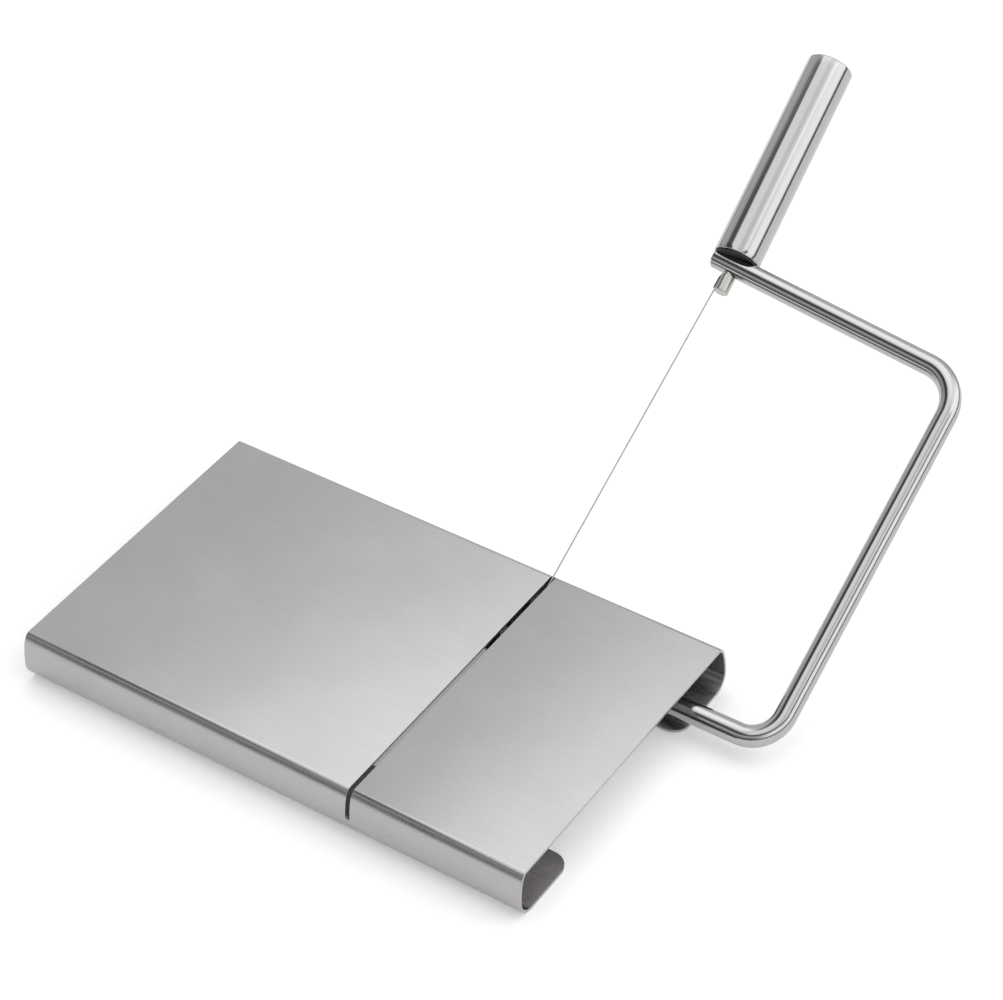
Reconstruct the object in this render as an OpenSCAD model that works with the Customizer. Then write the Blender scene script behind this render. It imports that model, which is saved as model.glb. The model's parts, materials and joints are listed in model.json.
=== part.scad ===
// Cheese wire cutter: a bent stainless board with a cutting slot, and a swinging bow of round
// rod that carries a taut wire and a handle which tightens it.
// Units are millimetres, +Z is up and the board rests on z = 0. The bow is drawn swung open
// behind the board, with its wire resting in the back end of the slot.

/* [Board] */
// Length of the board, along X
board_length = 210; // [170:1:260]
// Width of the top, between its front and back corners
board_width = 123.4; // [100:0.1:160]
// Height of the top above the table
board_height = 20; // [19:0.5:24]
// Thickness of the sheet
sheet = 1; // [0.8:0.1:1.2]
// Angle at which the front and back walls lean outwards
wall_lean = 16; // [0:1:20]
// Outer radius of the bend between the top and a wall
top_bend_r = 1.8; // [1.5:0.1:3]
// Outer radius of the bend between a wall and the lip under it
lip_bend_r = 9.5; // [4:0.5:10]
// Width of a lip, from the outside of its wall
lip_width = 30.5; // [24:0.5:36]
// Radius of the lips' corners
lip_corner_r = 6.5; // [3:0.5:10]

/* [Cutting slot] */
// Distance of the slot from the right end of the board
slot_from_end = 69.3; // [60:0.1:90]
// Width of the slot
slot_width = 1.8; // [1.2:0.1:2.5]

/* [Bow] */
// Diameter of the rod
rod_d = 8; // [7:0.5:8]
// Distance of the hinge line behind the middle of the board
hinge_y = 38.9; // [36:0.1:44]
// Height of the hinge line above the table
hinge_z = 8.8; // [8.7:0.1:10.5]
// Gap between the right end of the board and the centre of the bow's leg
leg_offset = 32.3; // [26:0.1:40]
// Distance from the hinge line to the top rod, measured at the leg
bow_reach = 147.2; // [140:0.1:160]
// Angle by which the top rod rises towards its free end
top_slant = 6.1; // [2:0.1:8]
// Radius of the bend beside the board, on the rod's centre line
low_bend_r = 12; // [10:1:22]
// Radius of the bend between the leg and the top rod, on the rod's centre line
high_bend_r = 16; // [12:1:22]
// Angle of the open bow above the table
open_angle = 27.7; // [24:0.1:40]

/* [Handle] */
// Diameter of the handle
handle_d = 17.8; // [16:0.1:18]
// Length of the handle tube
handle_length = 84.5; // [60:0.5:100]
// Angle by which the handle leans towards the board's left end
handle_lean = 3.3; // [0:0.1:5]
// Radius of the handle's top edge
handle_edge_r = 1; // [0.5:0.1:1]

/* [Wire] */
// Diameter of the wire
wire_d = 0.6; // [0.4:0.1:0.8]
// Distance of the tension stud's axis from the wire, at the top rod
stud_offset = 2.15; // [2.1:0.05:2.6]

/* [Hidden] */
$fn = 72;
cut = 1; // how far a cutting shape runs past the face that it opens
half_turn = 180;
square_turn = 90;
seam = 0.005; // how far the straight of a wall sits inside the bends at its ends

// Board outline, in the plane across the board
wall_turn = square_turn - wall_lean;
flat_half = board_width / 2 - top_bend_r * tan(wall_turn / 2);
top_bend_z = board_height - top_bend_r;
wall_top_y = flat_half + top_bend_r * cos(wall_lean);
wall_top_z = top_bend_z + top_bend_r * sin(wall_lean);
wall_foot_z = lip_bend_r + lip_bend_r * sin(wall_lean);
wall_length = (wall_top_z - wall_foot_z) / cos(wall_lean);
lip_bend_y = wall_top_y + wall_length * sin(wall_lean) - lip_bend_r * cos(wall_lean);
half_depth = lip_bend_y + lip_bend_r;
lip_edge_y = half_depth - lip_width;

// Slot
slot_x = board_length / 2 - slot_from_end;
slot_r = slot_width / 2;
slot_gap = 0.2;
slot_back_y = flat_half + 0.7;
slot_foot_z = hinge_z - wire_d / 2 - slot_gap + slot_r;
slot_front_depth = 12;

// Rod
rod_r = rod_d / 2;
rod_edge_r = 0.8;
bend_thinning = 0.06;
bend_lap = 0.3;
rod_inner_x = slot_x - 5.7;
leg_x = board_length / 2 + leg_offset;
top_turn = square_turn - top_slant;
top_bend_side = high_bend_r * tan(top_turn / 2);

// Hinge hardware along the rod
bracket_t = 2;
bracket_w = 15;
tab_length = 14;
tab_bend_r = 3.5;
bush_r = 5;
bush_bore_r = rod_r + 0.05;
bush_length = 3.4;
bush_flange_r = 6.75;
bush_flange_t = 1;
inner_bracket_x = slot_x + 8.3;
outer_bracket_x = board_length / 2 - 17;
inner_flange_x = inner_bracket_x + bracket_t;
collar_x = inner_flange_x + bush_flange_t + 0.2;
collar_length = 8;
collar_r = 7;
collar_edge = 0.5;
screw_r = 2;
screw_length = 3.2;
screw_seat = rod_r - 0.4;
screw_socket_r = 1.15;
screw_socket_depth = 1.6;
washer_t = 1;
washer_r = 6;
washer_x = inner_flange_x - bush_length - 0.2 - washer_t;
clip_t = 0.8;
clip_r = 5.6;
clip_x = washer_x - 0.1 - clip_t;
groove_r = 3;
fit = 0.02;

// Tension stud and handle, measured along the stud from the centre of the top rod
stud_x = slot_x + stud_offset;
stud_reach = bow_reach + (leg_x - stud_x) * tan(top_slant);
seat_angle = top_slant + handle_lean;
seat_run = handle_d / 2 + 0.15;
seat_step = 0.6;
seat_h = (rod_r - seat_run * sin(seat_angle)) / cos(seat_angle) - seat_step;
rod_end_run = 8;
stud_r = 2;
stud_clearance = 0.1;
nub_r = 2.8;
nub_length = 6.7;
nub_edge = 0.4;
nub_top = -(rod_r + nub_r * sin(seat_angle)) / cos(seat_angle) - 0.2;
stud_tip = 20;
pad_t = 0.6;
pad_r = 8.2;
handle_gap = 0.1;
handle_base = seat_h + pad_t + handle_gap;
tube_wall = 1;
tube_bore_r = handle_d / 2 - tube_wall;
end_disc_t = 1.5;
plug_length = 16;
plug_face = 0.3;
insert_r = 4;
insert_length = 10;
insert_bore_r = stud_r + 0.05;
insert_base = handle_base + plug_face + 4;

// Wire, measured along the bow from the hinge line
wire_r = wire_d / 2;
wire_top = stud_reach + nub_top - 1.2;
wire_hole_r = wire_r + 0.2;
ball_r = 1.3;
ball_reach = -rod_r - 0.5;
ferrule_r = 0.8;
ferrule_length = 4.8;
ferrule_top = wire_top + 0.3;
ferrule_foot = ferrule_top - ferrule_length;
ferrule_bore_r = wire_r + 0.15;

// The origin is under the middle of the box around the whole cutter
handle_dir_y = cos(handle_lean) * cos(open_angle);
stud_foot_y = hinge_y + stud_reach * cos(open_angle);
handle_far = handle_base + handle_length - handle_edge_r;
handle_rim = (handle_d / 2 - handle_edge_r) * sqrt(1 - handle_dir_y * handle_dir_y);
back_y = stud_foot_y + handle_far * handle_dir_y + handle_rim + handle_edge_r;
right_x = leg_x + rod_r;
origin_x = (right_x - board_length / 2) / 2;
origin_y = (back_y - half_depth) / 2;

// Places the board's frame, whose zero is under the middle of the board
module on_table() {
    translate([-origin_x, -origin_y, 0]) children();
}

// Places the hinge frame, with X along the hinge line
module on_hinge() {
    on_table() translate([0, hinge_y, hinge_z]) children();
}

// Places the bow's frame, with X along the hinge line and Y along the wire
module on_bow() {
    on_hinge() rotate([open_angle, 0, 0]) children();
}

// Places the stud's frame inside the bow's frame, with Z along the stud
module at_stud() {
    translate([stud_x, stud_reach, 0]) rotate([0, 0, handle_lean]) rotate([-90, 0, 0]) children();
}

// Places the handle's frame
module on_handle() {
    on_bow() at_stud() translate([0, 0, handle_base]) children();
}

// A cylinder along X
module x_cylinder(radius, length) {
    rotate([0, 90, 0]) cylinder(r = radius, h = length);
}

// A cylinder along Y
module y_cylinder(radius, length) {
    rotate([-90, 0, 0]) cylinder(r = radius, h = length);
}

// A point on the straight of a wall, just inside the tangent of the bend around [y, z]
function wall_point(y, z, reach) =
    [y + (reach - seam) * cos(wall_lean), z + (reach - seam) * sin(wall_lean)];

// Half of the board, filled in, at a given depth inside the sheet and run past its ends by over
module filled_side(depth, over) {
    run = board_length + 2 * over;
    translate([-run / 2, flat_half, top_bend_z]) x_cylinder(top_bend_r - depth, run);
    translate([-run / 2, lip_bend_y, lip_bend_r]) x_cylinder(lip_bend_r - depth, run);
    translate([-run / 2, 0, 0]) rotate([90, 0, 90]) linear_extrude(height = run) polygon([
        [-cut, board_height - depth], [flat_half, board_height - depth],
        wall_point(flat_half, top_bend_z, top_bend_r - depth),
        wall_point(lip_bend_y, lip_bend_r, lip_bend_r - depth),
        [lip_bend_y, depth], [-cut, depth]
    ]);
}

// What is cut off to round one corner of a lip
module lip_corner_cut() {
    difference() {
        translate([0, -cut, -cut]) cube([lip_corner_r + cut, lip_corner_r + cut, sheet + 2 * cut]);
        translate([0, lip_corner_r, -2 * cut]) cylinder(r = lip_corner_r, h = sheet + 4 * cut);
    }
}

module slot_cut() {
    front_y = -half_depth - cut;
    translate([slot_x - slot_r, front_y, slot_foot_z])
        cube([slot_width, slot_back_y - slot_r - front_y, board_height - slot_foot_z + cut]);
    translate([slot_x, front_y, slot_foot_z]) y_cylinder(slot_r, slot_front_depth);
    translate([slot_x, slot_back_y - slot_r, board_height - 2 * sheet])
        cylinder(r = slot_r, h = 3 * sheet);
}

module board() {
    corner_x = board_length / 2 - lip_corner_r;
    color("gainsboro") on_table() difference() {
        for (side = [0, 1]) mirror([0, side, 0]) filled_side(0, 0);
        for (side = [0, 1]) mirror([0, side, 0]) filled_side(sheet, cut);
        translate([-board_length, -lip_edge_y, -cut])
            cube([2 * board_length, 2 * lip_edge_y, sheet + 2 * cut]);
        for (side_x = [0, 1], side_y = [0, 1])
            mirror([side_x, 0, 0]) mirror([0, side_y, 0])
                translate([corner_x, lip_edge_y, 0]) lip_corner_cut();
        slot_cut();
    }
}

// A hinge bracket: a plate that holds a bush, bent over into a tab welded under the top.
// Its plate starts at x = 0, and the tab runs towards +X.
module bracket() {
    tab_z = board_height - hinge_z - sheet;
    difference() {
        intersection() {
            translate([0, bracket_w / 2, 0]) rotate([90, 0, 0])
                linear_extrude(height = bracket_w) {
                    translate([0, -bracket_w]) square([bracket_t, bracket_w + tab_z - tab_bend_r]);
                    translate([tab_bend_r, tab_z - tab_bend_r]) intersection() {
                        difference() {
                            circle(r = tab_bend_r);
                            circle(r = tab_bend_r - bracket_t);
                        }
                        translate([-tab_bend_r, 0]) square(tab_bend_r);
                    }
                    translate([tab_bend_r, tab_z - bracket_t])
                        square([tab_length - tab_bend_r, bracket_t]);
                }
            union() {
                translate([-cut, 0, 0]) x_cylinder(bracket_w / 2, tab_length);
                translate([-cut, -bracket_w / 2, 0]) cube([tab_length + 2 * cut, bracket_w, bracket_w]);
            }
        }
        translate([-cut, 0, 0]) x_cylinder(bush_r, tab_length);
    }
}

module hinge_bracket_outer() {
    color("silver") on_hinge() translate([outer_bracket_x + bracket_t, 0, 0])
        mirror([1, 0, 0]) bracket();
}

module hinge_bracket_inner() {
    color("silver") on_hinge() translate([inner_bracket_x, 0, 0]) bracket();
}

// A flanged bush. Its flange starts at x = 0 and runs towards +X, and its sleeve towards -X.
module bush() {
    difference() {
        union() {
            translate([-bush_length, 0, 0]) x_cylinder(bush_r, bush_length);
            x_cylinder(bush_flange_r, bush_flange_t);
        }
        translate([-bush_length - cut, 0, 0])
            x_cylinder(bush_bore_r, bush_length + bush_flange_t + 2 * cut);
    }
}

module hinge_bush_outer() {
    color("ivory") on_hinge() translate([outer_bracket_x + bracket_t, 0, 0]) bush();
}

module hinge_bush_inner() {
    color("ivory") on_hinge() translate([inner_flange_x, 0, 0]) bush();
}

// A length of rod along Z whose far end has a rounded edge
module rounded_rod(radius, length, edge_r) {
    rotate_extrude() {
        square([radius, length - edge_r]);
        square([radius - edge_r, length]);
        translate([radius - edge_r, length - edge_r]) intersection() {
            circle(r = edge_r);
            square(edge_r);
        }
    }
}

// One bend of the rod, from the X axis of its own frame round to a given angle
module rod_bend(turn, bend_r, radius) {
    rotate_extrude(angle = turn) translate([bend_r, 0]) circle(r = radius);
}

// The bent rod, before its holes are made. The top bend is a little thinner than the straights
// that lap over its ends, because bending draws the rod out.
module rod_body() {
    low_x = leg_x - low_bend_r;
    high_x = leg_x - high_bend_r;
    high_y = bow_reach - top_bend_side;
    top_run = (high_x + high_bend_r * cos(top_turn) - stud_x) / cos(top_slant);
    translate([low_x, 0, 0]) rotate([0, -90, 0])
        rounded_rod(rod_r, low_x - rod_inner_x, rod_edge_r);
    translate([low_x, low_bend_r, 0]) rotate([0, 0, -90])
        rod_bend(square_turn, low_bend_r, rod_r);
    translate([leg_x, low_bend_r, 0]) y_cylinder(rod_r, high_y - low_bend_r + bend_lap);
    translate([high_x, high_y, 0]) {
        rod_bend(top_turn, high_bend_r, rod_r - bend_thinning);
        rotate([0, 0, top_turn]) translate([high_bend_r, -bend_lap, 0]) rotate([-90, 0, 0])
            rounded_rod(rod_r, bend_lap + top_run + rod_end_run, rod_edge_r);
    }
}

module bow_rod() {
    color("lightgray") on_bow() difference() {
        rod_body();
        // groove for the retaining clip
        translate([clip_x - fit, 0, 0]) difference() {
            x_cylinder(rod_r + cut, clip_t + 2 * fit);
            translate([-cut, 0, 0]) x_cylinder(groove_r, clip_t + 2 * cut);
        }
        // hole for the wire, and the seat of its end ball
        translate([slot_x, -rod_r - cut, 0]) y_cylinder(wire_hole_r, rod_d + 2 * cut);
        translate([slot_x, ball_reach, 0]) sphere(r = ball_r + fit);
        // dimple for the collar's screw
        translate([collar_x + collar_length / 2, 0, screw_seat])
            cylinder(r = screw_r, h = rod_r);
        // flat seat and cross hole for the handle and its stud
        at_stud() {
            translate([-handle_d, -rod_d, seat_h]) cube([handle_d + seat_run, 2 * rod_d, rod_d]);
            translate([0, 0, -rod_d]) cylinder(r = stud_r + stud_clearance, h = 2 * rod_d);
        }
    }
}

module stop_collar() {
    color("darkgray") on_bow() translate([collar_x, 0, 0]) difference() {
        rotate([0, 90, 0]) rotate_extrude() polygon([
            [rod_r + fit, 0], [collar_r - collar_edge, 0], [collar_r, collar_edge],
            [collar_r, collar_length - collar_edge], [collar_r - collar_edge, collar_length],
            [rod_r + fit, collar_length]
        ]);
        translate([collar_length / 2, 0, 0]) cylinder(r = screw_r + fit, h = collar_r + cut);
    }
}

module collar_screw() {
    color("dimgray") on_bow() translate([collar_x + collar_length / 2, 0, screw_seat]) difference() {
        cylinder(r = screw_r - fit, h = screw_length);
        translate([0, 0, screw_length - screw_socket_depth])
            cylinder(r = screw_socket_r, h = screw_socket_depth + cut, $fn = 6);
    }
}

module thrust_washer() {
    color("silver") on_bow() translate([washer_x, 0, 0]) difference() {
        x_cylinder(washer_r, washer_t);
        translate([-cut, 0, 0]) x_cylinder(bush_bore_r, washer_t + 2 * cut);
    }
}

// A retaining clip in the shape of an E: an open ring with three lobes in the rod's groove
module retaining_clip() {
    ring_r = clip_r - 1.3;
    lobe_w = 2;
    mouth_w = 6.4;
    color("gray") on_bow() translate([clip_x, 0, 0]) rotate([0, 90, 0])
        linear_extrude(height = clip_t) {
            difference() {
                circle(r = clip_r);
                circle(r = ring_r);
                translate([-mouth_w / 2, 0]) square([mouth_w, clip_r + cut]);
            }
            for (turn = [half_turn, half_turn - 80, half_turn + 80])
                rotate(turn) difference() {
                    translate([-lobe_w / 2, 0]) square([lobe_w, (clip_r + ring_r) / 2]);
                    circle(r = groove_r + fit);
                }
        }
}

module cutting_wire() {
    color("whitesmoke") on_bow() translate([slot_x, ball_reach - ball_r, 0])
        y_cylinder(wire_r, wire_top - ball_reach + ball_r);
}

module wire_end_ball() {
    color("silver") on_bow() translate([slot_x, ball_reach, 0]) difference() {
        sphere(r = ball_r);
        translate([0, -ball_r - cut, 0]) y_cylinder(wire_r + fit, 2 * (ball_r + cut));
    }
}

module handle_washer() {
    color("black") on_bow() at_stud() translate([0, 0, seat_h]) difference() {
        cylinder(r = pad_r, h = pad_t);
        translate([0, 0, -cut]) cylinder(r = stud_r + stud_clearance, h = pad_t + 2 * cut);
    }
}

module handle_tube() {
    color("lightgray") on_handle() difference() {
        rounded_rod(handle_d / 2, handle_length, handle_edge_r);
        translate([0, 0, -cut]) cylinder(r = tube_bore_r, h = handle_length + 2 * cut);
    }
}

module handle_end_disc() {
    color("lightgray") on_handle() translate([0, 0, handle_length - end_disc_t])
        cylinder(r = tube_bore_r, h = end_disc_t);
}

module handle_plug() {
    insert_z = insert_base - handle_base;
    color("black") on_handle() difference() {
        translate([0, 0, plug_face]) cylinder(r = tube_bore_r, h = plug_length);
        translate([0, 0, -cut]) cylinder(r = stud_r + 2 * stud_clearance, h = plug_length);
        translate([0, 0, insert_z]) cylinder(r = insert_r, h = plug_length);
    }
}

module handle_insert() {
    color("goldenrod") on_bow() at_stud() translate([0, 0, insert_base]) difference() {
        cylinder(r = insert_r, h = insert_length);
        translate([0, 0, -cut]) cylinder(r = insert_bore_r, h = insert_length + 2 * cut);
    }
}

// The threaded stud. Its nub hangs under the top rod. A groove in the nub holds the wire's
// ferrule, and is open along one side so that a new wire can be hooked in.
module tension_stud() {
    pocket_w = 2 * (ferrule_r + fit);
    pocket_length = ferrule_length + stud_clearance;
    color("silver") on_bow() difference() {
        at_stud() translate([0, 0, nub_top - nub_length]) {
            cylinder(r1 = nub_r - nub_edge, r2 = nub_r, h = nub_edge);
            translate([0, 0, nub_edge]) cylinder(r = nub_r, h = nub_length - nub_edge);
            translate([0, 0, nub_edge]) cylinder(r = stud_r, h = nub_length + stud_tip - nub_top);
        }
        translate([slot_x, ferrule_foot, 0]) y_cylinder(pocket_w / 2, pocket_length);
        translate([slot_x - pocket_w / 2, ferrule_foot, 0])
            cube([pocket_w, pocket_length, nub_r + cut]);
        translate([slot_x, ferrule_foot - nub_length, 0]) y_cylinder(wire_hole_r, nub_length);
        translate([slot_x - wire_hole_r, ferrule_foot - nub_length, 0])
            cube([2 * wire_hole_r, nub_length, nub_r + cut]);
    }
}

module wire_ferrule() {
    color("dimgray") on_bow() translate([slot_x, ferrule_foot, 0]) difference() {
        y_cylinder(ferrule_r, ferrule_length);
        translate([0, -cut, 0]) y_cylinder(ferrule_bore_r, ferrule_length + 2 * cut);
    }
}

board();
hinge_bracket_outer();
hinge_bracket_inner();
hinge_bush_outer();
hinge_bush_inner();
bow_rod();
stop_collar();
collar_screw();
thrust_washer();
retaining_clip();
cutting_wire();
wire_end_ball();
handle_washer();
handle_tube();
handle_end_disc();
handle_plug();
handle_insert();
tension_stud();
wire_ferrule();
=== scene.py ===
"""Studio picture of the cheese wire cutter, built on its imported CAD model.

Everything is in metres, in the model's own frame: +Z is up, +X runs along the board towards
the bow's leg, and +Y runs from the board's front edge towards the open bow.
"""
import json
import math

import bmesh
import bpy
from mathutils import Matrix, Vector


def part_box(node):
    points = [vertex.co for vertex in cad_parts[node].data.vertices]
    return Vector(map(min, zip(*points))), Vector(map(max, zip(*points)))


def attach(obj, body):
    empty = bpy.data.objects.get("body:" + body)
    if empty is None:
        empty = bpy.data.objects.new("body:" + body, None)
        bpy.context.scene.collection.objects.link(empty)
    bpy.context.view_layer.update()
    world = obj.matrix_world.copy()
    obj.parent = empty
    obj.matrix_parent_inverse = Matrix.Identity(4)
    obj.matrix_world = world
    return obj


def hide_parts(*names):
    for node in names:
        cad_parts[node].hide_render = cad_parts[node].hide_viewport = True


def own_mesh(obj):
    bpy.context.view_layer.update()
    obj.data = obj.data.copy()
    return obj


MM = 0.001

# Board: one sheet, bent down and back under along its two long sides
SHEET = 1.0 * MM
TOP_BEND_R = 2.4 * MM
SHOULDER_R = 9.0 * MM
SHOULDER_LEAN = math.radians(36)
WALL_LEAN = math.radians(14)
LIP_BEND_R = 7.0 * MM
LIP_CORNER_R = 6.5 * MM
LIP_WIDTH = 30.5 * MM
SLOT_WIDTH = 1.8 * MM
SLOT_FOOT = 8.3 * MM
SLOT_BACK = 61.04 * MM
EDGE_BREAK = 0.16 * MM
FOOT_CUT_DEPTH = 14.0 * MM
CORNER_CUT_OVER = 1.0 * MM

# Bow: one bent rod
ROD_R = 4.0 * MM
LOW_BEND_R = 12.0 * MM
HIGH_BEND_R = 16.0 * MM
ROD_EDGE_R = 0.8 * MM
TOP_SLANT = math.radians(6.1)
SEAT_HEIGHT = 1.956 * MM
SEAT_RUN = 9.05 * MM
FINE_RUN = 12.0 * MM
FREE_END_RUN = 8.0 * MM

# Handle and wire
HANDLE_R = 8.9 * MM
HANDLE_WALL = 1.0 * MM
HANDLE_EDGE_R = 1.0 * MM
HANDLE_BASE = 2.656 * MM
HANDLE_LENGTH = 84.5 * MM
HANDLE_RIM = 0.2 * MM
HANDLE_RIM_STEP = 0.06 * MM
HANDLE_BORE_BREAK = (0.02 * MM, 0.1 * MM)
HANDLE_SOCKET = 3.0 * MM
DISC_T = 1.49 * MM
DISC_GAP = 0.03 * MM
DISC_EDGE = 0.09 * MM
DISC_DROP = 0.01 * MM
WIRE_R = 0.3 * MM
WIRE_TIP_R = 0.21 * MM
WIRE_TIP = 0.1 * MM
WIRE_BELOW_BALL = 1.3 * MM
WIRE_SHORT = 0.2 * MM

# Points round a turned or bent piece, and stations along its bends and straight runs
ROUND_STEPS = 96
WIRE_ROUND_STEPS = 20
WIRE_STEPS = 60
END_STEPS = 6
BEND_STEPS = 28
STRAIGHT_STEPS = 24
FINE_STEPS = 80
TUBE_STEPS = 40
CORNER_STEPS = 12
TOP_BEND_STEPS = 14
SHOULDER_STEPS = 8
WALL_STEPS = 24

# Floor
FLOOR_HALF = 9.0
FLOOR_DROP = 0.05 * MM
FLOOR_DARKEST = (0.81, 0.81, 0.81)
FLOOR_LIGHTEST = (0.83, 0.83, 0.83)
FLOOR_GLOW = 0.24

# Camera: degrees, millimetres and a place in metres
CAMERA_AZIMUTH = 35.94
CAMERA_ELEVATION = 41.52
CAMERA_ROLL = -2.68
CAMERA_LENS = 115.9
CAMERA_PLACE = (0.49518, -0.72489, 0.7989)


# ---------------------------------------------------------------- meshes

def mesh_object(name, bm, smooth_angle=math.radians(30)):
    """Turns a bmesh into an object that is smooth up to the given angle between faces."""
    bmesh.ops.recalc_face_normals(bm, faces=bm.faces)
    for face in bm.faces:
        face.smooth = True
    for edge in bm.edges:
        sharp = len(edge.link_faces) == 2 and edge.calc_face_angle() > smooth_angle
        edge.smooth = not sharp
    mesh = bpy.data.meshes.new(name)
    bm.to_mesh(mesh)
    bm.free()
    obj = bpy.data.objects.new(name, mesh)
    bpy.context.scene.collection.objects.link(obj)
    return obj


def bake_modifiers(obj):
    """Replaces the object's mesh with what its modifiers make of it."""
    graph = bpy.context.evaluated_depsgraph_get()
    mesh = bpy.data.meshes.new_from_object(obj.evaluated_get(graph))
    obj.modifiers.clear()
    obj.data = mesh


def side_frame(axis):
    """Two unit vectors that stand square to an axis and to each other."""
    guide = Vector((1, 0, 0)) if abs(axis.x) < 0.9 else Vector((0, 1, 0))
    first = axis.cross(guide).normalized()
    return first, axis.cross(first).normalized()


def skin(bm, rings, closed_ends=True):
    """Joins rings of points into a tube, with UVs that run round it and along it in metres."""
    uv = bm.loops.layers.uv.verify()
    rows = [[bm.verts.new(p) for p in ring] for ring in rings]
    count = len(rings[0])
    travel = [0.0]
    for low, high in zip(rings, rings[1:]):
        middle_low = sum(low, Vector()) / count
        middle_high = sum(high, Vector()) / count
        travel.append(travel[-1] + max((middle_high - middle_low).length, 1e-6))
    for i, (low, high) in enumerate(zip(rows, rows[1:])):
        for j in range(count):
            k = (j + 1) % count
            face = bm.faces.new((low[j], low[k], high[k], high[j]))
            places = ((j, i), (j + 1, i), (j + 1, i + 1), (j, i + 1))
            for loop, (round_place, along) in zip(face.loops, places):
                loop[uv].uv = (round_place / count, travel[along])
    if closed_ends:
        bm.faces.new(rows[0])
        bm.faces.new(rows[-1])


def lathe(name, origin, axis, profile, steps=ROUND_STEPS, ring_closed=False):
    """A turned piece: profile is a list of (radius, height) along the axis from the origin."""
    bm = bmesh.new()
    first, second = side_frame(axis)
    rings = []
    for radius, height in profile:
        ring = []
        for j in range(steps):
            turn = 2 * math.pi * j / steps
            out = first * math.cos(turn) + second * math.sin(turn)
            ring.append(origin + axis * height + out * radius)
        rings.append(ring)
    if ring_closed:
        rings.append(rings[0])
    skin(bm, rings, closed_ends=not ring_closed)
    if ring_closed:
        bmesh.ops.remove_doubles(bm, verts=bm.verts, dist=1e-7)
    return mesh_object(name, bm)


def arc(centre, radius, start, stop, steps):
    """Points (x, y) on an arc, both ends included."""
    turns = [start + (stop - start) * i / steps for i in range(steps + 1)]
    return [(centre[0] + radius * math.cos(t), centre[1] + radius * math.sin(t)) for t in turns]


# ---------------------------------------------------------------- materials

def new_material(name):
    """A material with its node tree and its Principled shader."""
    material = bpy.data.materials.new(name)
    material.use_nodes = True
    tree = material.node_tree
    return material, tree, tree.nodes["Principled BSDF"]


def add_node(tree, kind, **settings):
    """A new node, with each setting put on its input socket or, failing that, on the node."""
    node = tree.nodes.new(kind)
    for key, value in settings.items():
        if key in node.inputs:
            node.inputs[key].default_value = value
        else:
            setattr(node, key, value)
    return node


def noise_factor(tree, scale, detail=4.0, rough=0.6, stretch=(1, 1, 1), source="Object"):
    """Noise in the object's own coordinates or its UVs, scaled along each axis."""
    coords = add_node(tree, "ShaderNodeTexCoord")
    mapping = add_node(tree, "ShaderNodeMapping")
    mapping.inputs["Scale"].default_value = stretch
    noise = add_node(tree, "ShaderNodeTexNoise", Scale=scale, Detail=detail, Roughness=rough)
    tree.links.new(coords.outputs[source], mapping.inputs["Vector"])
    tree.links.new(mapping.outputs["Vector"], noise.inputs["Vector"])
    return noise.outputs["Fac"]


def ramp(tree, factor, low, high, start=0.3, stop=0.7):
    """Turns a factor into a colour between low and high."""
    node = add_node(tree, "ShaderNodeValToRGB")
    node.color_ramp.elements[0].position = start
    node.color_ramp.elements[1].position = stop
    node.color_ramp.elements[0].color = (*low, 1)
    node.color_ramp.elements[1].color = (*high, 1)
    tree.links.new(factor, node.inputs["Fac"])
    return node.outputs["Color"]


def span(tree, factor, low, high):
    """Maps a noise factor to a number between low and high."""
    node = add_node(tree, "ShaderNodeMapRange")
    node.inputs["From Min"].default_value = 0.3
    node.inputs["From Max"].default_value = 0.7
    node.inputs["To Min"].default_value = low
    node.inputs["To Max"].default_value = high
    tree.links.new(factor, node.inputs["Value"])
    return node.outputs["Result"]


def steel(name, colour, roughness, grain=(1, 1, 1), grain_scale=900.0, bump=0.02,
          mottle=0.06, source="Object", rounding=0.15 * MM):
    """Metal with a fine grain, soft mottling, uneven polish and slightly worn edges."""
    material, tree, shader = new_material(name)
    shader.inputs["Metallic"].default_value = 1.0
    cloud = noise_factor(tree, 28.0, detail=3.0, rough=0.55)
    dark = tuple(c * (1 - mottle) for c in colour)
    light = tuple(min(1.0, c * (1 + mottle)) for c in colour)
    tree.links.new(ramp(tree, cloud, dark, light), shader.inputs["Base Color"])
    lines = noise_factor(tree, grain_scale, detail=3.0, rough=0.65, stretch=grain, source=source)
    uneven = span(tree, lines, roughness * 0.82, roughness * 1.22)
    tree.links.new(uneven, shader.inputs["Roughness"])
    corner = add_node(tree, "ShaderNodeBevel", samples=4, Radius=rounding)
    height = add_node(tree, "ShaderNodeBump", Strength=bump * 10, Distance=0.02 * MM)
    tree.links.new(lines, height.inputs["Height"])
    tree.links.new(corner.outputs["Normal"], height.inputs["Normal"])
    tree.links.new(height.outputs["Normal"], shader.inputs["Normal"])
    return material


def nylon(name, colour, roughness):
    """Moulded plastic with a fine pebbled skin."""
    material, tree, shader = new_material(name)
    cloud = noise_factor(tree, 120.0, detail=4.0)
    dark = tuple(c * 0.88 for c in colour)
    light = tuple(min(1.0, c * 1.12) for c in colour)
    tree.links.new(ramp(tree, cloud, dark, light), shader.inputs["Base Color"])
    pebble = noise_factor(tree, 2600.0, detail=2.0)
    tree.links.new(span(tree, pebble, roughness * 0.85, roughness * 1.15),
                   shader.inputs["Roughness"])
    corner = add_node(tree, "ShaderNodeBevel", samples=4, Radius=0.2 * MM)
    height = add_node(tree, "ShaderNodeBump", Strength=0.25, Distance=0.03 * MM)
    tree.links.new(pebble, height.inputs["Height"])
    tree.links.new(corner.outputs["Normal"], height.inputs["Normal"])
    tree.links.new(height.outputs["Normal"], shader.inputs["Normal"])
    return material


# ---------------------------------------------------------------- board

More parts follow.
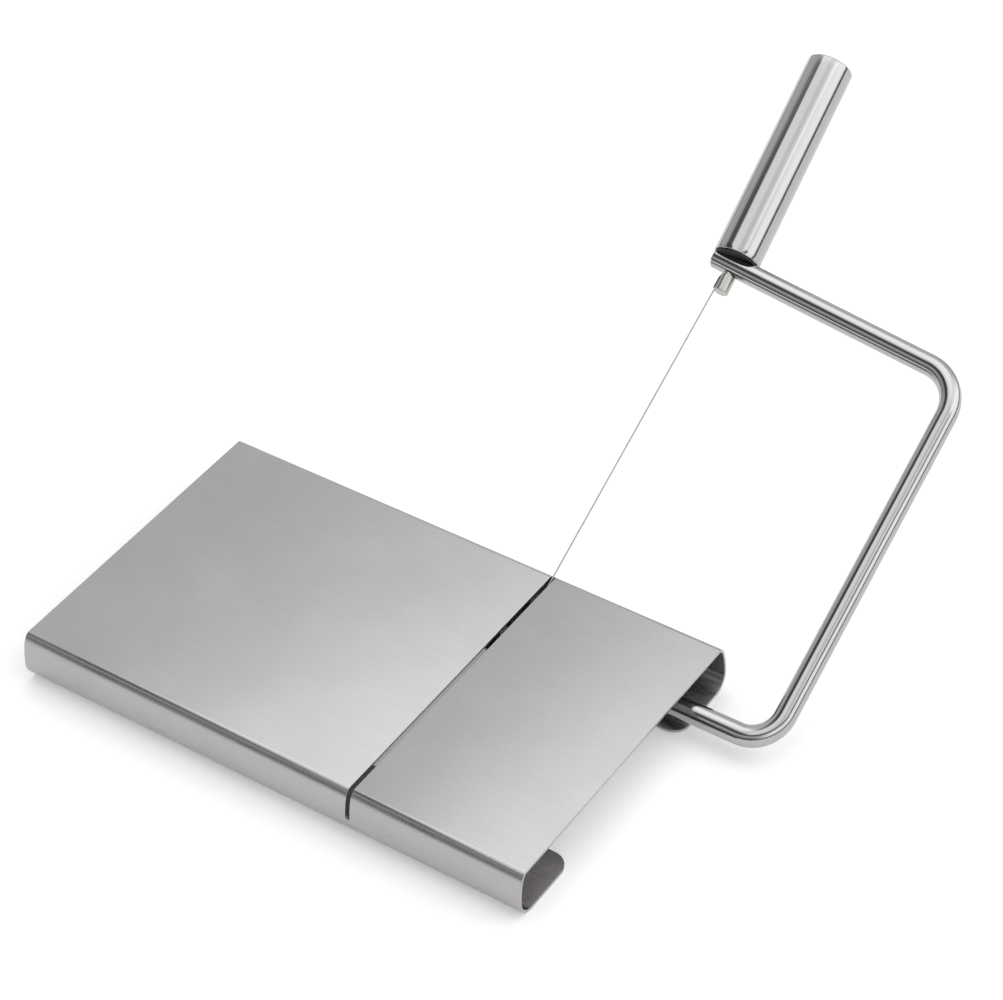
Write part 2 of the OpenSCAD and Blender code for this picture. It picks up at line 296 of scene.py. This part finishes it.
def board_outline(low, high):
    """The section across the board, as (y, z): one closed loop round both skins of the sheet.

    Each wall bulges slightly, as a pressed sheet does. From the top it is a tight bend, a
    shoulder, one large arc that ends upright, and the bend into the lip.
    """
    middle = (low.y + high.y) / 2
    half = (high.y - low.y) / 2
    rise = high.z - LIP_BEND_R - TOP_BEND_R
    rise -= (SHOULDER_R - TOP_BEND_R) * math.sin(SHOULDER_LEAN)
    wall_r = SHOULDER_R + rise / math.sin(WALL_LEAN)
    wall = (half - wall_r, LIP_BEND_R)
    shoulder = arc(wall, wall_r - SHOULDER_R, WALL_LEAN, WALL_LEAN, 1)[0]
    top = arc(shoulder, SHOULDER_R - TOP_BEND_R, SHOULDER_LEAN, SHOULDER_LEAN, 1)[0]
    lip = (half - LIP_BEND_R, LIP_BEND_R)

    def side(depth):
        """The skin at a depth in the sheet, from the top's back edge round to the lip's end."""
        points = arc(top, TOP_BEND_R - depth, math.pi / 2, SHOULDER_LEAN, TOP_BEND_STEPS)
        points += arc(shoulder, SHOULDER_R - depth, SHOULDER_LEAN, WALL_LEAN, SHOULDER_STEPS)[1:]
        points += arc(wall, wall_r - depth, WALL_LEAN, 0.0, WALL_STEPS)[1:]
        points += arc(lip, LIP_BEND_R - depth, 0.0, -math.pi / 2, WALL_STEPS)[1:]
        return points + [(half - LIP_WIDTH, depth)]

    back = side(0.0) + side(SHEET)[::-1]
    front = [(-y, z) for y, z in reversed(back)]
    return [(middle + y, z) for y, z in back + front]


def prism(bm, outline, to_point, depth):
    """Adds a solid with a flat outline: to_point places each (a, b) at t = 0 and t = depth."""
    near = [bm.verts.new(to_point(a, b, 0.0)) for a, b in outline]
    far = [bm.verts.new(to_point(a, b, depth)) for a, b in outline]
    bm.faces.new(near)
    bm.faces.new(reversed(far))
    count = len(outline)
    for i in range(count):
        j = (i + 1) % count
        bm.faces.new((near[i], far[i], far[j], near[j]))


def cut_away(target, cutter):
    """Cuts the cutter's shape out of the target and deletes the cutter."""
    tool = target.modifiers.new("cut", "BOOLEAN")
    tool.operation = "DIFFERENCE"
    tool.solver = "EXACT"
    tool.object = cutter
    bake_modifiers(target)
    bpy.data.objects.remove(cutter, do_unlink=True)


def make_board():
    """The board as one bent sheet with broken edges, its slot and its rounded lip corners."""
    low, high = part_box("board")
    bm = bmesh.new()
    outline = board_outline(low, high)
    prism(bm, outline, lambda y, z, t: Vector((low.x + t, y, z)), high.x - low.x)
    board = mesh_object("board_sheet", bm)
    slot_x = wire_line()[0].x
    middle = (low.y + high.y) / 2
    half = (high.y - low.y) / 2
    back_end = middle + SLOT_BACK
    radius = SLOT_WIDTH / 2
    # the slot from above, with a round back end
    bm = bmesh.new()
    plan = arc((slot_x, back_end - radius), radius, 0.0, math.pi, CORNER_STEPS)
    plan += [(slot_x - radius, low.y - half), (slot_x + radius, low.y - half)]
    prism(bm, plan, lambda x, y, t: Vector((x, y, SLOT_FOOT + radius + t)), high.z)
    cut_away(board, mesh_object("slot_cut", bm))
    # the slot's round foot in the front wall
    bm = bmesh.new()
    foot = arc((slot_x, SLOT_FOOT + radius), radius, -math.pi, 0.0, CORNER_STEPS)
    foot += [(slot_x + radius, SLOT_FOOT + 2 * radius), (slot_x - radius, SLOT_FOOT + 2 * radius)]
    prism(bm, foot, lambda x, z, t: Vector((x, low.y - half + t, z)), half + FOOT_CUT_DEPTH)
    cut_away(board, mesh_object("foot_cut", bm))
    # the lips' rounded corners
    over = CORNER_CUT_OVER
    bm = bmesh.new()
    for end, inward in ((low.x, 1), (high.x, -1)):
        for side in (-1, 1):
            edge = middle + side * (half - LIP_WIDTH)
            centre = (end + inward * LIP_CORNER_R, edge + side * LIP_CORNER_R)
            start = math.atan2(-side, 0)
            stop = start - inward * side * math.pi / 2
            plan = arc(centre, LIP_CORNER_R, start, stop, CORNER_STEPS)
            plan += [(end - inward * over, centre[1]), (end - inward * over, edge - side * over),
                     (centre[0], edge - side * over)]
            prism(bm, plan, lambda x, y, t: Vector((x, y, t - over)), 2 * over + SHEET)
    cut_away(board, mesh_object("corner_cut", bm))
    bevel = board.modifiers.new("edge", "BEVEL")
    bevel.width = EDGE_BREAK
    bevel.segments = 3
    bevel.limit_method = "ANGLE"
    bevel.angle_limit = math.radians(40)
    bevel.harden_normals = False
    bake_modifiers(board)
    bm = bmesh.new()
    bm.from_mesh(board.data)
    bpy.data.objects.remove(board, do_unlink=True)
    return mesh_object("board_sheet", bm)


# ---------------------------------------------------------------- bow

def joint(name):
    """The record's entry for one joint."""
    return next(j for j in frame["record"]["behaviour"]["joints"] if j["name"] == name)


def stud_line():
    """The stud's place in the middle of the top rod, and its direction towards the handle."""
    turn = joint("handle_turn")
    return Vector(turn["pos_m"]), Vector(turn["axis"]).normalized()


def bow_frame():
    """Hinge point, the direction from the hinge to the top rod, and the bow plane's normal."""
    hinge = Vector(joint("bow_swing")["pos_m"])
    stud, _ = stud_line()
    reach = Vector((0, stud.y - hinge.y, stud.z - hinge.z))
    return hinge, reach.normalized(), Vector((1, 0, 0)).cross(reach.normalized())


def wire_line():
    """The wire's two ends, found from the middles of its lower ball and its upper ferrule."""
    low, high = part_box("wire_end_ball")
    foot = (low + high) / 2
    _, reach, _ = bow_frame()
    low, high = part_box("wire_ferrule")
    middle = (low + high) / 2
    return foot, foot + reach * (middle - foot).dot(reach)


def bow_path():
    """Places and directions along the rod's centre line, from its inner end to its free end."""
    hinge, reach, _ = bow_frame()
    stud, _ = stud_line()
    across = Vector((1, 0, 0))
    low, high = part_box("bow_rod")
    leg_x = high.x - ROD_R
    low_x = leg_x - LOW_BEND_R
    high_x = leg_x - HIGH_BEND_R
    stud_reach = (stud - hinge).dot(reach)
    corner = stud_reach - (leg_x - stud.x) * math.tan(TOP_SLANT)
    turn = math.pi / 2 - TOP_SLANT
    side = HIGH_BEND_R * math.tan(turn / 2)

    def place(x, r):
        """The point of the bow's plane at x, r metres from the hinge line."""
        return Vector((x, hinge.y, hinge.z)) + reach * r

    # along the hinge line
    path = []
    for i in range(STRAIGHT_STEPS + 1):
        x = low.x + (low_x - low.x) * i / STRAIGHT_STEPS
        path.append((place(x, 0), across))
    # the low bend
    centre = place(low_x, LOW_BEND_R)
    for i in range(1, BEND_STEPS + 1):
        a = math.pi / 2 * i / BEND_STEPS
        out = across * math.sin(a) - reach * math.cos(a)
        along = across * math.cos(a) + reach * math.sin(a)
        path.append((centre + out * LOW_BEND_R, along))
    # up the leg
    for i in range(1, STRAIGHT_STEPS + 1):
        r = LOW_BEND_R + (corner - side - LOW_BEND_R) * i / STRAIGHT_STEPS
        path.append((place(leg_x, r), reach))
    # the high bend
    centre = place(high_x, corner - side)
    for i in range(1, BEND_STEPS + 1):
        a = turn * i / BEND_STEPS
        out = across * math.cos(a) + reach * math.sin(a)
        along = reach * math.cos(a) - across * math.sin(a)
        path.append((centre + out * HIGH_BEND_R, along))
    # along the top rod
    start, along = path[-1]
    run = (stud - start).dot(along) - FINE_RUN
    for i in range(1, STRAIGHT_STEPS + 1):
        path.append((start + along * run * i / STRAIGHT_STEPS, along))
    # short steps under the handle, where the seat is cut
    fine_start = path[-1][0]
    fine_run = FINE_RUN + FREE_END_RUN - ROD_EDGE_R
    for i in range(1, FINE_STEPS + 1):
        path.append((fine_start + along * fine_run * i / FINE_STEPS, along))
    return path


def make_bow_rod():
    """The bent rod with its rounded ends and the flat seat that the handle's washer sits on."""
    _, _, normal = bow_frame()
    stud, axis = stud_line()
    seat_out = axis.cross(normal).normalized()
    seat_out *= 1 if seat_out.x > 0 else -1
    # the centre line's places, with smaller circles at its two rounded ends
    path = bow_path()
    stations = []
    first, along = path[0]
    for i in range(END_STEPS + 1):
        a = math.pi / 2 * i / END_STEPS
        radius = ROD_R - ROD_EDGE_R * (1 - math.sin(a))
        stations.append((first + along * ROD_EDGE_R * (1 - math.cos(a)), along, radius))
    stations += [(p, d, ROD_R) for p, d in path if (p - first).length > ROD_EDGE_R + 1e-5]
    last, along = path[-1]
    for i in range(1, END_STEPS + 1):
        a = math.pi / 2 * i / END_STEPS
        radius = ROD_R - ROD_EDGE_R * (1 - math.cos(a))
        stations.append((last + along * ROD_EDGE_R * math.sin(a), along, radius))
    # a circle at each place, pressed flat where the seat is
    rings = []
    for place, along, radius in stations:
        side = normal.cross(along).normalized()
        ring = []
        for j in range(ROUND_STEPS):
            turn = 2 * math.pi * j / ROUND_STEPS
            point = place + (side * math.cos(turn) + normal * math.sin(turn)) * radius
            height = (point - stud).dot(axis)
            under_handle = (point - stud).dot(seat_out) < SEAT_RUN
            by_stud = (point - stud).length < 4 * SEAT_RUN
            if under_handle and by_stud and height > SEAT_HEIGHT:
                point -= axis * (height - SEAT_HEIGHT)
            ring.append(point)
        rings.append(ring)
    bm = bmesh.new()
    skin(bm, rings)
    return mesh_object("bow_rod_bent", bm)


def make_wire():
    """The taut wire, from inside its lower ball to inside its ferrule."""
    foot, head = wire_line()
    low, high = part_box("cutting_wire")
    length = (high - low).length - WIRE_SHORT
    axis = (head - foot).normalized()
    start = foot - axis * WIRE_BELOW_BALL
    run = length - 2 * WIRE_TIP
    profile = [(WIRE_TIP_R, 0.0)]
    profile += [(WIRE_R, WIRE_TIP + run * i / WIRE_STEPS) for i in range(WIRE_STEPS + 1)]
    profile += [(WIRE_TIP_R, length)]
    return lathe("wire_strand", start, axis, profile, steps=WIRE_ROUND_STEPS)


def shorten_wire(wire):
    """Gives the wire a fresh copy of its mesh."""
    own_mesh(wire)


# ---------------------------------------------------------------- handle

def rounded(radius, height, edge, steps=8):
    """Points (radius, height) round the outer top edge of a turned piece, from its side up."""
    turns = [math.pi / 2 * i / steps for i in range(steps + 1)]
    return [(radius - edge * (1 - math.cos(a)), height - edge * (1 - math.sin(a)))
            for a in turns]


def make_handle():
    """The handle's tube, with its rounded top edge and lightly broken lower rim."""
    stud, axis = stud_line()
    base = HANDLE_BASE
    top = base + HANDLE_LENGTH
    inner = HANDLE_R - HANDLE_WALL
    run = HANDLE_LENGTH - 2 * HANDLE_EDGE_R
    profile = [(inner, base + HANDLE_RIM), (HANDLE_R - HANDLE_RIM, base)]
    profile += [(HANDLE_R - HANDLE_RIM_STEP, base + HANDLE_RIM_STEP), (HANDLE_R, base + HANDLE_RIM)]
    profile += [(HANDLE_R, base + run * i / TUBE_STEPS) for i in range(1, TUBE_STEPS)]
    profile += rounded(HANDLE_R, top, HANDLE_EDGE_R)
    out, down = HANDLE_BORE_BREAK
    profile += [(inner + out, top), (inner, top - down), (inner, top - HANDLE_SOCKET)]
    return lathe("handle_shell", stud, axis, profile, ring_closed=True)


def make_end_disc():
    """The disc pressed into the tube's top, with a fine joint line round it."""
    stud, axis = stud_line()
    bore = HANDLE_R - HANDLE_WALL
    radius = bore - DISC_GAP
    top = HANDLE_BASE + HANDLE_LENGTH - DISC_DROP
    profile = [(radius, top - DISC_T), (radius, top - DISC_EDGE), (radius - DISC_EDGE, top)]
    profile += [(bore * i / 10, top) for i in range(9, 0, -1)]
    return lathe("handle_disc", stud, axis, profile)


# ---------------------------------------------------------------- stage

def make_floor():
    """A large pale sheet of paper under the cutter."""
    bm = bmesh.new()
    bmesh.ops.create_grid(bm, x_segments=1, y_segments=1, size=FLOOR_HALF)
    floor = mesh_object("floor", bm)
    floor.location.z = -FLOOR_DROP
    material, tree, shader = new_material("white_paper")
    shader.inputs["Roughness"].default_value = 0.9
    shader.inputs["Specular IOR Level"].default_value = 0.1
    shader.inputs["Emission Color"].default_value = (1, 1, 1, 1)
    shader.inputs["Emission Strength"].default_value = FLOOR_GLOW
    grain = noise_factor(tree, 40.0)
    tree.links.new(ramp(tree, grain, FLOOR_DARKEST, FLOOR_LIGHTEST), shader.inputs["Base Color"])
    floor.data.materials.append(material)


def make_camera():
    """A long lens in front of the cutter, to its right and above it."""
    azimuth, elevation = math.radians(CAMERA_AZIMUTH), math.radians(CAMERA_ELEVATION)
    roll = math.radians(CAMERA_ROLL)
    back = Vector((math.sin(azimuth) * math.cos(elevation),
                   -math.cos(azimuth) * math.cos(elevation), math.sin(elevation)))
    right = Vector((math.cos(azimuth), math.sin(azimuth), 0))
    up = back.cross(right)
    data = bpy.data.cameras.new("camera")
    data.sensor_width = 36
    data.lens = CAMERA_LENS
    data.clip_start, data.clip_end = 0.05, 50
    camera = bpy.data.objects.new("camera", data)
    bpy.context.scene.collection.objects.link(camera)
    turned_right = right * math.cos(roll) + up * math.sin(roll)
    turned_up = up * math.cos(roll) - right * math.sin(roll)
    axes = Matrix((turned_right, turned_up, back)).transposed()
    camera.matrix_world = Matrix.Translation(Vector(CAMERA_PLACE)) @ axes.to_4x4()
    bpy.context.scene.camera = camera


def make_light():
    """A white ceiling panel, pale walls and a dark skirting, all told by direction alone.

    x, y and z are the direction's parts in the model's frame, and every number is either a
    place between -1 and 1 along one of them or a brightness.
    """
    world = bpy.data.worlds.new("studio")
    bpy.context.scene.world = world
    world.use_nodes = True
    tree = world.node_tree
    background = tree.nodes["Background"]
    coords = add_node(tree, "ShaderNodeTexCoord")
    split = add_node(tree, "ShaderNodeSeparateXYZ")
    tree.links.new(coords.outputs["Generated"], split.inputs["Vector"])
    x, y, z = (split.outputs[k] for k in "XYZ")

    def smooth(value, start, stop, low=0.0, high=1.0):
        """Goes softly from low to high as the value goes from start to stop."""
        node = add_node(tree, "ShaderNodeMapRange", interpolation_type="SMOOTHSTEP")
        node.inputs["From Min"].default_value = start
        node.inputs["From Max"].default_value = stop
        node.inputs["To Min"].default_value = low
        node.inputs["To Max"].default_value = high
        tree.links.new(value, node.inputs["Value"])
        return node.outputs["Result"]

    def maths(operation, a, b):
        """A maths node on two numbers or sockets."""
        node = add_node(tree, "ShaderNodeMath", operation=operation)
        for socket, value in zip(node.inputs, (a, b)):
            if isinstance(value, (int, float)):
                socket.default_value = value
            else:
                tree.links.new(value, socket)
        return node.outputs[0]

    # pale walls, darkest in front, with a bright window on the right
    walls = maths("ADD", smooth(y, -0.8, 0.7, 0.34, 0.90), smooth(x, 0.1, 0.6, 0.0, 1.05))
    # the front wall's upper half
    high_front = maths("MULTIPLY", smooth(z, 0.30, 0.55, 0.0, 0.4), smooth(y, -0.3, -0.6))
    walls = maths("ADD", walls, high_front)
    # the dark skirting, lower on the left
    left = maths("MULTIPLY", smooth(x, -0.1, -0.5), smooth(y, -0.75, -0.45))
    skirting = maths("MAXIMUM", smooth(z, 0.06, 0.26, 0.02, 1.0),
                     maths("MULTIPLY", left, smooth(z, 0.0, 0.10)))
    walls = maths("MULTIPLY", walls, skirting)
    # the ceiling's pale rim
    walls = maths("ADD", walls, smooth(z, 0.66, 0.82, 0.0, 0.3))
    # the unlit ceiling in front of the panel
    unlit = maths("MULTIPLY", smooth(y, 0.15, -0.05), smooth(z, 0.56, 0.64))
    walls = maths("MULTIPLY", walls, maths("SUBTRACT", 1.0, maths("MULTIPLY", unlit, 0.86)))
    # the panel's askew left edge
    slope = maths("DIVIDE", x, maths("MAXIMUM", z, 0.05))
    edge = maths("ADD", slope, maths("MULTIPLY", y, 0.45))
    panel = maths("MULTIPLY", smooth(edge, -0.60, -0.50), smooth(z, 0.70, 0.82))
    # the panel's own light, brighter at both sides and towards the back
    glow = maths("ADD", smooth(x, 0.05, 0.20, 1.42, 1.08), smooth(x, 0.40, 0.70, 0.0, 0.85))
    glow = maths("ADD", glow, smooth(y, -0.1, 0.1, 0.0, 0.45))
    mix = add_node(tree, "ShaderNodeMix", data_type="FLOAT")
    tree.links.new(panel, mix.inputs["Factor"])
    tree.links.new(walls, mix.inputs["A"])
    tree.links.new(glow, mix.inputs["B"])
    tree.links.new(mix.outputs["Result"], background.inputs["Strength"])
    background.inputs["Color"].default_value = (1, 1, 1, 1)


# ---------------------------------------------------------------- scene

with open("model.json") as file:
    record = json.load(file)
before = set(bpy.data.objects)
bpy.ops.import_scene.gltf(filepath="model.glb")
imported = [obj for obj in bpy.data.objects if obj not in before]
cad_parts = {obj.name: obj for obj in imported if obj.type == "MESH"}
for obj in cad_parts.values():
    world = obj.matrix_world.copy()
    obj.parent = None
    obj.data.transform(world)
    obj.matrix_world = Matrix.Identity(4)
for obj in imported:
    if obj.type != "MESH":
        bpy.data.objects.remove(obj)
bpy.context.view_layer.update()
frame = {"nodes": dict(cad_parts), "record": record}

board_steel = steel("board_steel", (0.425, 0.413, 0.414), 0.28, grain=(0.02, 1, 1),
                    grain_scale=2600.0, bump=0.003, mottle=0.04)
rod_steel = steel("rod_steel", (0.43, 0.43, 0.435), 0.11, grain=(40, 1, 1),
                  grain_scale=60.0, bump=0.006, mottle=0.02, source="UV")
handle_steel = steel("handle_steel", (0.43, 0.43, 0.435), 0.12, grain=(1, 900, 1),
                     grain_scale=6.0, bump=0.006, mottle=0.02, source="UV")
bracket_steel = steel("bracket_steel", (0.36, 0.36, 0.36), 0.36, bump=0.02)
fixing_steel = steel("fixing_steel", (0.42, 0.41, 0.39), 0.22, bump=0.02)
spring_steel = steel("spring_steel", (0.10, 0.10, 0.11), 0.42, bump=0.03)
wire_steel = steel("wire_steel", (0.40, 0.40, 0.40), 0.30, grain_scale=3000.0, bump=0.03)
ferrule_metal = steel("ferrule_metal", (0.10, 0.095, 0.09), 0.45, bump=0.03)
brass = steel("brass", (0.62, 0.43, 0.17), 0.30, bump=0.02)
black_nylon = nylon("black_nylon", (0.012, 0.012, 0.012), 0.42)
white_nylon = nylon("white_nylon", (0.72, 0.70, 0.64), 0.45)

SLOTS = {
    "board_steel": board_steel, "rod_steel": rod_steel, "handle_steel": handle_steel,
    "bracket_steel": bracket_steel, "fixing_steel": fixing_steel, "spring_steel": spring_steel,
    "wire_steel": wire_steel, "ferrule_metal": ferrule_metal, "brass": brass,
    "black_nylon": black_nylon, "white_nylon": white_nylon,
}
for part in frame["record"]["subparts"]:
    cad_object = frame["nodes"][part["node"]]
    for material_slot in cad_object.material_slots:
        material_slot.material = SLOTS[part["material_slot"]]

for piece, body, node, slot_name in (
    (make_board(), "base", "board", "board_steel"),
    (make_bow_rod(), "bow", "bow_rod", "rod_steel"),
    (make_wire(), "bow", "cutting_wire", "wire_steel"),
    (make_handle(), "handle", "handle_tube", "handle_steel"),
    (make_end_disc(), "handle", "handle_end_disc", "handle_steel"),
):
    piece.data.materials.clear()
    piece.data.materials.append(SLOTS[slot_name])
    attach(piece, body)
    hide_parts(node)
    if node == "cutting_wire":
        shorten_wire(piece)

make_floor()
make_light()
make_camera()
bpy.context.scene.view_settings.view_transform = "Standard"
